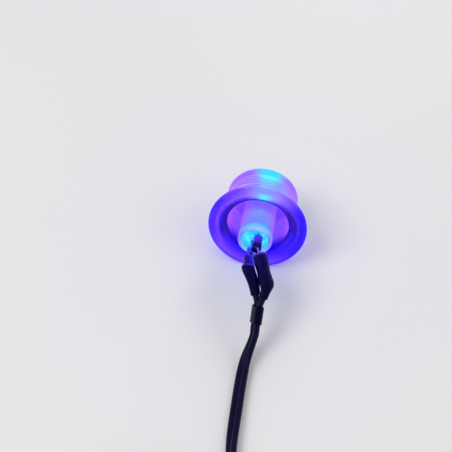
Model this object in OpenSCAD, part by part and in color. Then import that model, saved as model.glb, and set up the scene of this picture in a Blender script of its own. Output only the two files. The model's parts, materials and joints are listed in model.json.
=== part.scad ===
// Wired through hole LED in a clear moulded bezel, lying on its rim and barrel.
// Millimetres. +Z is up, the light shines towards +Y and the lead leaves towards -Y.
// The origin is on the surface, under the middle of the light without its free lead.

/* [Bezel] */
// Diameter of the wide rim on the lead side
rim_d = 23.2; // [20:0.1:28]
// Diameter of the barrel that goes through a panel
barrel_d = 17.2; // [15.5:0.1:18.5]
// Length from the rim plane to the face of the window
bezel_len = 13.0; // [11.5:0.1:18]
// Thickness of the barrel wall
barrel_wall = 1.3; // [0.9:0.05:1.8]
// Thickness of the closed window
window_wall = 1.2; // [0.8:0.05:2]
// Thickness of the rolled rim
rim_bead = 1.2; // [0.9:0.05:1.6]
// Rounding of the barrel's far edge
far_edge = 0.6; // [0.3:0.05:1]
// Length of the plain land that sits in the panel hole
land_len = 1.8; // [1.2:0.1:3]
// Distance from the rim plane to the land
land_from_rim = 4.2; // [3.6:0.1:5]
// Spacing of the grooves round the barrel
groove_pitch = 1.08; // [0.9:0.02:1.5]
// Depth of the grooves
groove_depth = 0.2; // [0.1:0.02:0.35]
// Diameter of the dish edge where the mouth turns down into the barrel
mouth_d = 15.6; // [15.2:0.1:16.6]
// Depth of the dish at that edge
dish_depth = 0.6; // [0.4:0.05:0.9]
// Depth at which the mouth meets the barrel's inner wall
throat_depth = 1.3; // [1.1:0.1:3]

/* [Boss] */
// Diameter of the tube that holds the LED
boss_d = 7.9; // [7.2:0.1:9]
// How far the tube stands out of the rim plane
boss_out = 4.6; // [3:0.1:7]
// Depth of the LED's base below the tube's mouth
led_inset = 1.2; // [0.6:0.1:2]
// Clearance round the LED in its tube
led_gap = 0.1; // [0.05:0.01:0.2]

/* [LED] */
// Diameter of the epoxy body
led_d = 5.0; // [4.8:0.05:5.2]
// Diameter of the flange at its base
led_flange_d = 5.8; // [5.6:0.05:6.2]
// Thickness of the flange
led_flange_h = 1.0; // [0.8:0.05:1.3]
// Height from the base to the top of the dome
led_h = 8.6; // [8:0.1:9.2]
// Spacing of the two leads
lead_pitch = 2.54; // [2.4:0.02:2.7]
// Width of a square lead
lead_w = 0.5; // [0.4:0.02:0.6]
// Turn of the LED about its own axis
lead_turn = 60; // [40:1:80]
// Length of the anode lead outside the base
anode_out = 3.6; // [3:0.1:4.4]
// Length of the cathode lead outside the base
cathode_out = 9.6; // [9.2:0.1:9.8]
// Lean of the cathode lead to the side
cathode_lean = 6; // [4:0.5:8]
// Diameter of the reflector cup
cup_d = 1.6; // [1.4:0.05:1.8]
// Height of the cup's rim above the base
cup_top = 4.2; // [3.9:0.05:4.6]
// Depth of the cup
cup_depth = 0.45; // [0.35:0.01:0.5]
// Width of the square chip
chip_w = 0.35; // [0.25:0.01:0.4]
// Height of the chip
chip_h = 0.2; // [0.12:0.01:0.25]
// Diameter of the bond wire
bond_d = 0.06; // [0.04:0.01:0.08]

/* [Resistor] */
// Diameter of the resistor's ends
resistor_d = 2.5; // [2.2:0.05:2.6]
// Diameter of its waist
resistor_waist_d = 2.25; // [2:0.05:2.4]
// Length of its body
resistor_len = 6.3; // [5.8:0.1:6.8]
// Diameter of its leads
resistor_lead_d = 0.5; // [0.4:0.02:0.6]
// Turn of the resistor to the side
resistor_turn = 21; // [15:1:26]
// Slope of the resistor down from level
resistor_drop = 12; // [6:1:16]

/* [Sleeves] */
// Wall of the shrunk sleeves
sleeve_wall = 0.28; // [0.2:0.01:0.32]
// Clearance between a sleeve and what it covers
sleeve_gap = 0.04; // [0.02:0.01:0.06]
// Diameter of the short sleeve on the anode lead
stub_d = 2.1; // [1.9:0.05:2.3]
// Wall of that short sleeve
stub_wall = 0.15; // [0.1:0.01:0.2]
// Distance of its near end from the LED's base
stub_from = 1.5; // [0.3:0.1:2]
// Distance of its far end from the LED's base
stub_len = 5.8; // [4.5:0.1:6]
// How far the resistor's sleeve covers the lead before the body
sleeve_ahead = 1.0; // [0.8:0.1:1.2]
// Length of the sleeve that gathers both wires
gather_len = 3.8; // [3:0.1:5]
// Wall of that sleeve
gather_wall = 0.3; // [0.2:0.02:0.4]

/* [Lead] */
// Diameter of one insulated wire
wire_d = 1.4; // [1.2:0.05:1.5]
// Spacing of the two wires in the flat lead
wire_pitch = 1.5; // [1.5:0.02:1.6]
// Diameter of the bare strands
strand_d = 0.7; // [0.5:0.05:0.8]
// Length of the bare strands behind the resistor
strand_len = 1.2; // [1:0.1:1.5]
// Distance of the insulation beside the cathode lead from the LED's base
insulation_at = 5.9; // [5.5:0.1:6.2]
// Length of the bare strands beside the cathode lead
lap_len = 3.4; // [3:0.1:3.8]
// Radius of a solder joint
solder_r = 0.5; // [0.45:0.01:0.6]
// Length of the tinned ends
tinned_len = 4.5; // [3:0.1:5]

/* [Hidden] */

// Resting tilt: a line touches the rolled rim and the far edge
rim_r = rim_d / 2;
barrel_r = barrel_d / 2;
bead_r = rim_bead / 2;
rest_dr = (rim_r - bead_r) - (barrel_r - far_edge);
rest_dz = bezel_len - bead_r - far_edge;
rest_span = norm([rest_dr, rest_dz]);
tilt = acos((far_edge - bead_r) / rest_span) - atan2(rest_dz, rest_dr);
axis_h = (rim_r - bead_r) * cos(tilt) + bead_r * sin(tilt) + bead_r;
rim_y = 4.75;

// Sizes inside the bezel, from the rim plane
led_base = boss_out - led_inset;
inner_r = barrel_r - barrel_wall;
boss_r = boss_d / 2;
floor_z = window_wall - bezel_len;
seat_z = led_base - led_flange_h;
flange_bore_r = led_flange_d / 2 + led_gap;
body_bore_r = led_d / 2 + led_gap;
groove_first = -bezel_len + far_edge + 0.5;
groove_last = -land_from_rim - land_len - 0.2;
groove_count = floor((groove_last - groove_first) / groove_pitch);
groove_w = 0.75 * groove_pitch;
neck_r = 1.7;
boss_edge = 0.3;

// Sizes inside the LED, from its base towards the dome
lead_x = lead_pitch / 2;
cup_floor = cup_top - cup_depth;
bond_z = cup_floor + chip_h;
post_top_w = 0.3;
post_x = lead_x - lead_w / 2;
bond_r = (post_x + post_top_w / 2) / 2;

// A place given in the LED's own frame: x towards the anode, z towards the dome
function axis_point(p) = [
    p[0],
    rim_y + p[1] * sin(tilt) - p[2] * cos(tilt),
    axis_h + p[1] * cos(tilt) + p[2] * sin(tilt)
];
function led_point(p) = axis_point([
    p[0] * cos(lead_turn) + p[1] * sin(lead_turn),
    p[0] * sin(lead_turn) - p[1] * cos(lead_turn),
    led_base - p[2]
]);
module in_axis() {
    translate([0, rim_y, axis_h]) rotate([90 - tilt, 0, 0]) children();
}
module in_led() {
    in_axis() translate([0, 0, led_base]) rotate([0, 0, lead_turn]) rotate([180, 0, 0]) children();
}

// Directions from a turn to the side and a slope down
function heading(turn, drop) = [sin(turn) * cos(drop), -cos(turn) * cos(drop), -sin(drop)];
function unit(v) = v / norm(v);

// Places along the two legs, counted from the middle of the LED's base
base = axis_point([0, 0, led_base]);
resistor_dir = heading(resistor_turn, resistor_drop);
resistor_mid = base + [3.15, -10.1, 1.5];
resistor_start = resistor_mid - resistor_dir * resistor_len / 2;
resistor_end = resistor_mid + resistor_dir * resistor_len / 2;
gather_start = base + [3.1, -16.9, -2.0];
gather_dir = heading(0, 45);
gather_end = gather_start + gather_dir * gather_len;
gather_twist = 27;
gather_wide = across(gather_dir, gather_twist);
wires_end = gather_start + gather_dir * gather_len / 2;
right_wire = gather_start + gather_wide * wire_pitch / 2;
left_wire = gather_start - gather_wide * wire_pitch / 2;

// Joint on the anode: the two leads lie side by side
anode_tip = -anode_out;
overlap = 2.0;
solder_film = 0.04;
rod_r = resistor_lead_d / 2;
rod_x = lead_x + lead_w / 2 + solder_film + rod_r;
rod_bend = led_point([rod_x, 0, -stub_len]);
joint_x = lead_x + lead_w / 2;

// Joint behind the resistor: lead and strands end to end
out_bend = resistor_end + resistor_dir * 0.5;
out_dir = unit(right_wire - out_bend);
out_tip = out_bend + out_dir;
positive_start = out_tip + out_dir * strand_len;

// Joint on the cathode: the strands and the wire lie beside the leaning lead
lead_reach = lead_w / 2 * (cos(lead_turn) + sin(lead_turn));
strand_side = -lead_reach - strand_d / 2 - 0.02;
wire_side = -lead_reach - wire_d / 2 - 0.04;
module leaning() {
    translate([-lead_x, 0, 0]) rotate([0, 0, lead_turn]) rotate([0, -cathode_lean, 0]) children();
}
function leaned(x, z) = led_point([
    -lead_x + (x * cos(cathode_lean) - z * sin(cathode_lean)) * cos(lead_turn),
    (x * cos(cathode_lean) - z * sin(cathode_lean)) * sin(lead_turn),
    x * sin(cathode_lean) + z * cos(cathode_lean)
]);
lap_strands = round_stations([
    leaned(wire_side, -insulation_at),
    leaned(wire_side, -insulation_at + 0.25),
    leaned(strand_side, -insulation_at + 0.95),
    leaned(strand_side, -insulation_at + lap_len)
], strand_d);
lap_middle = (strand_side - strand_d / 2 + lead_reach) / 2;
lap_wide = lead_reach - strand_side + strand_d / 2;
wire_steps = 3;
sleeve_first = 11;
sleeve_full = 12;
sleeve_last = 18;
negative_path = [
    leaned(wire_side, -insulation_at),
    leaned(wire_side, -insulation_at - 0.3),
    leaned(wire_side, -insulation_at - 0.6),
    leaned(wire_side, 1.2 - cathode_out),
    leaned(wire_side, -0.3 - cathode_out),
    base + [1.0, -12.2, 0],
    base + [2.2, -14.5, -1.55],
    left_wire - gather_dir * 0.7 - gather_wide * 0.1,
    left_wire,
    left_wire + gather_dir * (gather_len / 2 - 0.3),
    left_wire + gather_dir * gather_len / 2
];
positive_path = [
    positive_start,
    positive_start + out_dir * 0.3,
    positive_start + out_dir * 0.6,
    right_wire - gather_dir * 0.4,
    right_wire,
    right_wire + gather_dir * (gather_len / 2 - 0.3),
    right_wire + gather_dir * gather_len / 2
];

// Route of the flat lead on the surface, and its coil
cable_w = wire_pitch + wire_d;
coil_centre = [-9.5, -66.5, 0];
coil_outer_r = 15.7;
coil_pitch = 1.4;
crossing_start = -300;
inner_turn_end = -295;
end_turn = 8;
route = [
    [3.15, -19.3, 6.6, 27], [3.15, -20.1, 5.5, 30], [2.8, -21.5, 4.1, 36],
    [2.35, -23.1, 2.9, 44], [2.0, -24.9, 1.95, 51], [1.85, -27.0, 1.35, 56],
    [1.8, -29.5, 1.15, 57], [1.8, -32.5, 1.15, 57], [1.85, -36.0, 1.15, 56],
    [1.9, -40.0, 1.2, 52], [2.1, -44.5, 1.3, 38], [2.85, -49.0, 1.4, 20],
    [4.1, -53.4, 1.45, 6], [5.4, -57.4, 1.45, 0], [6.2, -61.0, 1.45, 0],
    [6.2, -63.8, 1.45, 0], [6.2, -66.5, 1.45, 0]
];

// Sweeps: a station is [x, y, z, width, thickness, twist off upright]
function at(list, i) = list[max(0, min(len(list) - 1, i))];
function between(a, b, c, d, u) = 0.5 * (2 * b + (c - a) * u
    + (2 * a - 5 * b + 4 * c - d) * u * u + (3 * b - a - 3 * c + d) * u * u * u);
function smooth(list, steps) = concat(
    [for (i = [0 : len(list) - 2]) for (j = [0 : steps - 1])
        between(at(list, i - 1), list[i], list[i + 1], at(list, i + 2), j / steps)],
    [list[len(list) - 1]]
);
function place(s) = [s[0], s[1], s[2]];
function tangent(list, i) = unit(place(at(list, i + 1)) - place(at(list, i - 1)));
function sideways(t) = unit(cross([0, 0, 1], t));
function across(t, twist) = sideways(t) * sin(twist) + cross(t, sideways(t)) * cos(twist);
function through(t, twist) = sideways(t) * cos(twist) - cross(t, sideways(t)) * sin(twist);
function ring(s, t, less, sides) = [for (k = [0 : sides - 1])
    let (a = 360 * k / sides,
         flat = (s[3] - s[4]) / 2 * sign(cos(a)),
         round_r = s[4] / 2 - less)
    place(s)
        + across(t, s[5]) * (flat + round_r * cos(a))
        + through(t, s[5]) * round_r * sin(a)
];
function rings(list, less, sides) = [for (i = [0 : len(list) - 1])
    for (p = ring(list[i], tangent(list, i), less, sides)) p
];
function wall_faces(first, count, sides, flip) = [
    for (i = [0 : count - 2]) for (k = [0 : sides - 1])
        let (a = first + i * sides + k,
             b = first + i * sides + (k + 1) % sides,
             c = b + sides,
             d = a + sides)
        for (f = flip ? [[a, c, b], [a, d, c]] : [[a, b, c], [a, c, d]]) f
];
function end_ring_faces(a, b, sides, flip) = [
    for (k = [0 : sides - 1])
        let (n = (k + 1) % sides)
        for (f = flip
            ? [[a + k, b + n, b + k], [a + k, a + n, b + n]]
            : [[a + k, b + k, b + n], [a + k, b + n, a + n]]) f
];
module solid_sweep(list, sides) {
    last = (len(list) - 1) * sides;
    polyhedron(
        points = rings(list, 0, sides),
        faces = concat(
            wall_faces(0, len(list), sides, false),
            [[for (k = [0 : sides - 1]) sides - 1 - k]],
            [[for (k = [0 : sides - 1]) last + k]]
        )
    );
}
module hollow_sweep(list, wall, sides) {
    count = len(list);
    inside = count * sides;
    last = (count - 1) * sides;
    polyhedron(
        points = concat(rings(list, 0, sides), rings(list, wall, sides)),
        faces = concat(
            wall_faces(0, count, sides, false),
            wall_faces(inside, count, sides, true),
            end_ring_faces(0, inside, sides, false),
            end_ring_faces(last, inside + last, sides, true)
        )
    );
}
function round_stations(points, d) = [for (p = points) concat(p, [d, d, 0])];

// Turns +Z of what follows towards a direction
module along(from, dir) {
    translate(from) rotate([0, acos(dir[2]), atan2(dir[1], dir[0])]) children();
}
// A solder joint about +Z: a round-ended bead with a bore for each side's conductor
module bead(below_r, above_r) {
    half = 0.35;
    rotate_extrude($fn = 48)
    polygon(concat(
        [[above_r, 0], [below_r, 0]],
        arc(0, -half, solder_r, -acos(below_r / solder_r), 0, 5),
        arc(0, half, solder_r, 0, acos(above_r / solder_r), 5)
    ));
}

// Outline of the bezel, as radius and height over the rim plane
function arc(r, z, size, from, to, steps) = [for (i = [0 : steps])
    let (a = from + (to - from) * i / steps) [r + size * cos(a), z + size * sin(a)]
];
function groove(z) = [for (u = [0, 0.25, 0.5, 0.75, 1])
    [barrel_r - groove_depth * sin(180 * u), z + groove_w * u]
];
function barrel_side() = concat(
    arc(barrel_r - far_edge, -bezel_len + far_edge, far_edge, -90, 0, 5),
    [for (k = [0 : groove_count - 1]) for (p = groove(groove_first + k * groove_pitch)) p],
    [[barrel_r, -land_from_rim]]
);
function flange_back() = concat(
    arc(barrel_r + neck_r, -land_from_rim, neck_r, 168, 108, 5),
    arc(rim_r - bead_r, -bead_r, bead_r, -70, 90, 8)
);
function mouth() = concat(
    [for (u = [0.2 : 0.2 : 1]) [
        rim_r - rim_bead + (mouth_d / 2 - rim_r + rim_bead) * u,
        -dish_depth * sin(90 * u)
    ]],
    [for (u = [0.25 : 0.25 : 1]) [
        inner_r + (mouth_d / 2 - inner_r) * pow(1 - u, 1.6),
        -dish_depth - (throat_depth - dish_depth) * u
    ]]
);
function pocket() = concat(
    arc(inner_r - 0.6, floor_z + 0.6, 0.6, 0, -90, 4),
    arc(boss_r + 0.6, floor_z + 0.6, 0.6, -90, -180, 4),
    arc(boss_r - boss_edge, boss_out - boss_edge, boss_edge, 0, 90, 3)
);
function led_bore() = [
    [flange_bore_r, boss_out], [flange_bore_r, seat_z],
    [body_bore_r, seat_z], [body_bore_r, floor_z], [0, floor_z]
];
module housing() {
    color([0.66, 0.56, 0.98, 0.5])
    in_axis()
    rotate_extrude($fn = 96)
    polygon(concat([[0, -bezel_len]], barrel_side(), flange_back(), mouth(), pocket(), led_bore()));
}

module cathode_shape() {
    outside_w = lead_w - 0.04;
    leaning()
        rotate([0, 0, -lead_turn])
        translate([-outside_w / 2, -outside_w / 2, -cathode_out])
        cube([outside_w, outside_w, cathode_out + 0.1]);
    rotate([90, 0, 0])
    linear_extrude(lead_w, center = true)
    polygon([
        [-lead_x - lead_w / 2, 0], [-lead_x + lead_w / 2, 0], [-lead_x + lead_w / 2, 1.6],
        [cup_d / 2 - 0.25, cup_floor - 1], [cup_d / 2 - 0.25, cup_floor - 0.15],
        [-cup_d / 2, cup_floor - 0.15], [-lead_x - lead_w / 2, cup_floor - 0.8]
    ]);
    difference() {
        translate([0, 0, cup_floor - 0.35]) cylinder(h = cup_depth + 0.35, d = cup_d, $fn = 48);
        translate([0, 0, cup_floor])
            cylinder(h = cup_depth, d1 = 0.55 * cup_d, d2 = 0.85 * cup_d, $fn = 48);
    }
}
module cathode_lead() {
    color("silver") in_led() cathode_shape();
}

module anode_shape() {
    translate([post_x, -lead_w / 2, -anode_out]) cube([lead_w, lead_w, anode_out + 0.1]);
    rotate([90, 0, 0])
    linear_extrude(lead_w, center = true)
    polygon([
        [post_x, 0], [post_x + lead_w, 0], [post_x + lead_w, bond_z - 0.5],
        [post_x + post_top_w, bond_z], [post_x, bond_z]
    ]);
}
module anode_lead() {
    color("silver") in_led() anode_shape();
}

module chip_shape() {
    translate([-chip_w / 2, -chip_w / 2, cup_floor]) cube([chip_w, chip_w, chip_h]);
}
module led_chip() {
    color([0.3, 1, 0.9]) in_led() chip_shape();
}

module bond_shape() {
    translate([bond_r, 0, bond_z])
    rotate([90, 0, 0])
    rotate_extrude(angle = 180, $fn = 48)
    translate([bond_r, 0]) circle(d = bond_d, $fn = 16);
}
module bond_wire() {
    color("gold") in_led() bond_shape();
}

module led_lens() {
    color([0.35, 0.95, 1, 0.5])
    in_led()
    difference() {
        union() {
            difference() {
                cylinder(h = led_flange_h, d = led_flange_d, $fn = 64);
                translate([-led_flange_d, -led_flange_d, -1])
                    cube([led_flange_d - led_d / 2, 2 * led_flange_d, led_flange_h + 2]);
            }
            cylinder(h = led_h - led_d / 2, d = led_d, $fn = 64);
            translate([0, 0, led_h - led_d / 2]) sphere(d = led_d, $fn = 64);
        }
        cathode_shape();
        anode_shape();
        chip_shape();
        bond_shape();
    }
}

module anode_sleeve() {
    color([0.09, 0.09, 0.3])
    in_led()
    translate([joint_x, 0, -stub_len])
    difference() {
        cylinder(h = stub_len - stub_from, d = stub_d, $fn = 32);
        translate([0, 0, -1]) cylinder(h = stub_len + 2, d = stub_d - 2 * stub_wall, $fn = 32);
    }
}

module anode_joint() {
    color("silver")
    in_led()
    difference() {
        translate([joint_x, 0, anode_tip + overlap / 2])
            rotate_extrude($fn = 48)
            polygon(concat(
                arc(0, -0.5, solder_r, -90, 0, 5),
                arc(0, 0.5, solder_r, 0, 90, 5)
            ));
        anode_shape();
        translate([rod_x, 0, -stub_len]) cylinder(h = stub_len + anode_tip + overlap, r = rod_r, $fn = 24);
    }
}

module resistor_lead_in() {
    color("silver")
    solid_sweep(round_stations([
        led_point([rod_x, 0, anode_tip + overlap]),
        rod_bend,
        resistor_start - resistor_dir * 0.4,
        resistor_start
    ], resistor_lead_d), 8);
}

module resistor_body() {
    end_r = resistor_d / 2;
    waist_r = resistor_waist_d / 2;
    cap_len = 1.5;
    color([0.45, 0.62, 0.72])
    along(resistor_start, resistor_dir)
    rotate_extrude($fn = 48)
    polygon(concat(
        [[0, 0], [end_r - 0.5, 0]],
        arc(end_r - 0.5, 0.5, 0.5, -60, 0, 3),
        [[end_r, cap_len - 0.4], [waist_r, cap_len + 0.3]],
        [[waist_r, resistor_len - cap_len - 0.3], [end_r, resistor_len - cap_len + 0.4]],
        arc(end_r - 0.5, resistor_len - 0.5, 0.5, 0, 60, 3),
        [[end_r - 0.5, resistor_len], [0, resistor_len]]
    ));
}

module resistor_lead_out() {
    color("silver")
    solid_sweep(round_stations([resistor_end, out_bend, out_tip], resistor_lead_d), 8);
}

module positive_strands() {
    color([0.8, 0.5, 0.3])
    along(out_tip, out_dir) cylinder(h = strand_len, d = strand_d, $fn = 24);
}

module resistor_joint() {
    color("silver") along(out_tip, out_dir) bead(resistor_lead_d / 2, strand_d / 2);
}

module resistor_sleeve() {
    full = resistor_d + 2 * (sleeve_gap + sleeve_wall);
    waist = resistor_waist_d + 2 * (sleeve_gap + sleeve_wall);
    thin = wire_d + 2 * (sleeve_gap + sleeve_wall);
    stations = [
        concat(resistor_start - resistor_dir * sleeve_ahead, [full, full, 0]),
        concat(resistor_start, [full, full, 0]),
        concat(resistor_start + resistor_dir * 1.2, [full, full, 0]),
        concat(resistor_mid, [waist, waist, 0]),
        concat(resistor_end - resistor_dir * 1.2, [full, full, 0]),
        concat(resistor_end, [full, full, 0]),
        concat(out_tip, [thin + 0.2, thin + 0.2, 0]),
        concat(positive_start, [thin, thin, 0]),
        concat(positive_start + out_dir * 0.5, [thin, thin, 0])
    ];
    color([0.05, 0.05, 0.07]) hollow_sweep(smooth(stations, 2), sleeve_wall, 16);
}

module positive_wire() {
    color([0.05, 0.05, 0.06])
    solid_sweep(smooth(round_stations(positive_path, wire_d), wire_steps), 12);
}

module negative_strands() {
    color([0.8, 0.5, 0.3]) solid_sweep(lap_strands, 8);
}

module cathode_joint() {
    color("silver")
    difference() {
        solid_sweep([
            for (p = [[1.3, 0.1, 0.15], [1.5, 0.2, 0.3], [2.8, 0.2, 0.3], [3, 0.1, 0.15]])
            concat(leaned(lap_middle, p[0] - insulation_at), [lap_wide + p[1], strand_d + p[2], 90])
        ], 16);
        in_led() cathode_shape();
        solid_sweep(lap_strands, 8);
    }
}

module negative_wire() {
    color([0.05, 0.05, 0.06])
    solid_sweep(smooth(round_stations(negative_path, wire_d), wire_steps), 12);
}

module cathode_sleeve() {
    thin = wire_d + 2 * (sleeve_gap + sleeve_wall);
    line = smooth(round_stations(negative_path, thin), wire_steps);
    stations = [for (i = [sleeve_first : sleeve_last])
        let (off = 0.4 * min(1, (sleeve_last - i) / (sleeve_last - sleeve_full)))
        concat(place(line[i]) + sideways(tangent(line, i)) * off, [thin + 2 * off, thin, 90])
    ];
    color([0.05, 0.05, 0.07]) hollow_sweep(stations, sleeve_wall, 20);
}

module gather_sleeve() {
    wide = cable_w + 2 * (sleeve_gap + gather_wall);
    thin = wire_d + 2 * (sleeve_gap + gather_wall);
    stations = [for (u = [0, 0.5, 1])
        concat(gather_start + gather_dir * gather_len * u, [wide, thin, gather_twist])
    ];
    color([0.05, 0.05, 0.07]) hollow_sweep(stations, gather_wall, 24);
}

module cable() {
    inner = [wires_end, wires_end + gather_dir * 0.3, gather_end - gather_dir * 0.4];
    stations = concat(
        [for (p = inner) concat(p, [cable_w, wire_d, gather_twist])],
        [for (p = route) [p[0], p[1], p[2], cable_w, wire_d, p[3]]]
    );
    color([0.04, 0.04, 0.05]) solid_sweep(smooth(stations, 2), 8);
}

module coil_turn(r, angle) {
    rotate_extrude(angle = angle, $fn = 96)
        translate([r - wire_d / 2, 0]) square([wire_d, cable_w]);
}
// The lead's radius as it moves from the outer turn to the inner one
function crossing_r(u) = coil_outer_r - coil_pitch * (3 - 2 * u) * u * u;
function crossing_edge(off, order) = [for (u = order)
    let (a = crossing_start * (1 - u) - 360 * u)
    [(crossing_r(u) + off) * cos(a), (crossing_r(u) + off) * sin(a)]
];
module cable_coil() {
    steps = [0 : 0.125 : 1];
    back = [1 : -0.125 : 0];
    color([0.04, 0.04, 0.05])
    translate(coil_centre) {
        coil_turn(coil_outer_r, crossing_start);
        linear_extrude(cable_w)
            polygon(concat(crossing_edge(wire_d / 2, steps), crossing_edge(-wire_d / 2, back)));
        coil_turn(coil_outer_r - coil_pitch, inner_turn_end);
    }
}

module tinned_end(level) {
    color("silver")
    translate(coil_centre)
    rotate([0, 0, inner_turn_end])
    translate([coil_outer_r - coil_pitch, -strand_d / 2 * sin(end_turn), level])
    rotate([90, 0, -end_turn]) cylinder(h = tinned_len, d = strand_d, $fn = 24);
}
module positive_tinned_end() {
    tinned_end(cable_w / 2 + wire_pitch / 2);
}
module negative_tinned_end() {
    tinned_end(cable_w / 2 - wire_pitch / 2);
}

housing();
led_lens();
cathode_lead();
anode_lead();
led_chip();
bond_wire();
anode_sleeve();
anode_joint();
resistor_lead_in();
resistor_body();
resistor_lead_out();
resistor_joint();
resistor_sleeve();
positive_strands();
positive_wire();
cathode_joint();
negative_strands();
negative_wire();
cathode_sleeve();
gather_sleeve();
cable();
cable_coil();
positive_tinned_end();
negative_tinned_end();
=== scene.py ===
"""A wired LED light in a clear moulded bezel: its looks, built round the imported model.

Lengths are written in millimetres and turned into metres where a mesh is made.
"""

import json
import math

import bmesh
import bpy
from mathutils import Matrix, Vector, noise


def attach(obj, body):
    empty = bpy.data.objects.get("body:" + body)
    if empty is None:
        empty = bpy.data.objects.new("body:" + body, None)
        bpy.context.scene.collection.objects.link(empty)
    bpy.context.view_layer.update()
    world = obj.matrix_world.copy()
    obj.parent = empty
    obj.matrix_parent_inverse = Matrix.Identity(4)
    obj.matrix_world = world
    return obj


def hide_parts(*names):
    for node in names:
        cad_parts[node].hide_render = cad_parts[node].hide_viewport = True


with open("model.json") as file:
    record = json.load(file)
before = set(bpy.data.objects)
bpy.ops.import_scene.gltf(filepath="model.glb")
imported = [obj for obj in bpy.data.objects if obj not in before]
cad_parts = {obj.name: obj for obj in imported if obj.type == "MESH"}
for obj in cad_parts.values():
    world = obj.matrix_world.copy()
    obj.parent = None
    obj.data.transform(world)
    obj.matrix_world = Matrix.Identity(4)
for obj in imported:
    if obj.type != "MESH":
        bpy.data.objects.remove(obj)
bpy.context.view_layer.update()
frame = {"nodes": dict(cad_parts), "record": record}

MM = 0.001


# Camera
def set_camera():
    azimuth, elevation, roll = (math.radians(a) for a in (6.3, 52.2, 3.6))
    aim = Vector((-0.0082, 0.0130, 0))
    distance = 0.2
    back = Vector(
        (
            math.sin(azimuth) * math.cos(elevation),
            -math.cos(azimuth) * math.cos(elevation),
            math.sin(elevation),
        )
    )
    level_right = Vector((math.cos(azimuth), math.sin(azimuth), 0))
    level_up = back.cross(level_right)
    right = level_right * math.cos(roll) + level_up * math.sin(roll)
    up = -level_right * math.sin(roll) + level_up * math.cos(roll)
    data = bpy.data.cameras.new("camera")
    data.lens = 63.4
    data.sensor_width = 36
    data.clip_start = 0.01
    camera = bpy.data.objects.new("camera", data)
    bpy.context.scene.collection.objects.link(camera)
    turn = Matrix((right, up, back)).transposed().to_4x4()
    camera.matrix_world = Matrix.Translation(aim + back * distance) @ turn
    bpy.context.scene.camera = camera


set_camera()

# Where the light lies: the rim plane is its zero, and heights count towards the wires
barrel_mount = next(m for m in frame["record"]["mounts"] if m["name"] == "panel_barrel")
wires_way = -Vector(barrel_mount["axis"]).normalized()
rim_from_mount = 5.1
rim_middle = Vector(barrel_mount["pos_m"]) / MM + wires_way * rim_from_mount
side_way = Vector((1, 0, 0))
top_way = wires_way.cross(side_way)

# The LED is turned in its tube, and its base stands this far from the rim plane
lead_turn = math.radians(60)
led_base = 3.4

# How far the middle of the sleeved leg stands from the LED's middle
sleeved_leg = 1.52

# Each of the two wires: its radius, and how far it lies from the middle of the flat lead
wire_radius = 0.7
wire_out = 0.75


def axis_point(x, y, z):
    return rim_middle + side_way * x + top_way * y + wires_way * z


def led_point(x, y, z):
    c, s = math.cos(lead_turn), math.sin(lead_turn)
    return axis_point(x * c + y * s, x * s - y * c, led_base - z)


def axis_place():
    """The bezel's own frame, for its outline and its materials."""
    turn = Matrix((side_way, top_way, wires_way)).transposed().to_4x4()
    return Matrix.Translation(rim_middle * MM) @ turn


def led_place():
    """The LED's own frame, from its base towards the window."""
    middle = led_point(0, 0, 0)
    axes = [led_point(*way) - middle for way in ((1, 0, 0), (0, 1, 0), (0, 0, 1))]
    return Matrix.Translation(middle * MM) @ Matrix(axes).transposed().to_4x4()


def place_towards(start, way):
    return Matrix.Translation(start * MM) @ way.to_track_quat("Z", "Y").to_matrix().to_4x4()


def heading(turn, drop):
    """A direction away from the light, turned sideways and dropped, both in degrees."""
    t, d = math.radians(turn), math.radians(drop)
    return Vector((math.sin(t) * math.cos(d), -math.cos(t) * math.cos(d), -math.sin(d)))


leg_place = led_place() @ Matrix.Translation((sleeved_leg * MM, 0, 0))


# Making meshes
def finished_mesh(name, build, sharp=35):
    """Closes a bmesh into an object: outward faces, smooth but for its sharp edges."""
    bmesh.ops.recalc_face_normals(build, faces=build.faces)
    for face in build.faces:
        face.smooth = True
    limit = math.radians(sharp)
    for edge in build.edges:
        edge.smooth = len(edge.link_faces) == 2 and edge.calc_face_angle(0) < limit
    mesh = bpy.data.meshes.new(name)
    build.to_mesh(mesh)
    build.free()
    piece = bpy.data.objects.new(name, mesh)
    bpy.context.scene.collection.objects.link(piece)
    return piece


def add_rings(build, rings, looped=False):
    """Adds a skin over rings of points in millimetres, closed at its ends or in a loop."""
    made = [[build.verts.new(Vector(p) * MM) for p in ring] for ring in rings]
    count = len(made[0])
    pairs = list(zip(made, made[1:]))
    if looped:
        pairs.append((made[-1], made[0]))
    for one, two in pairs:
        for k in range(count):
            n = (k + 1) % count
            build.faces.new((one[k], one[n], two[n], two[k]))
    if not looped:
        build.faces.new(reversed(made[0]))
        build.faces.new(made[-1])


def skin(name, rings, looped=False, sharp=35):
    build = bmesh.new()
    add_rings(build, rings, looped)
    return finished_mesh(name, build, sharp)


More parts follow.
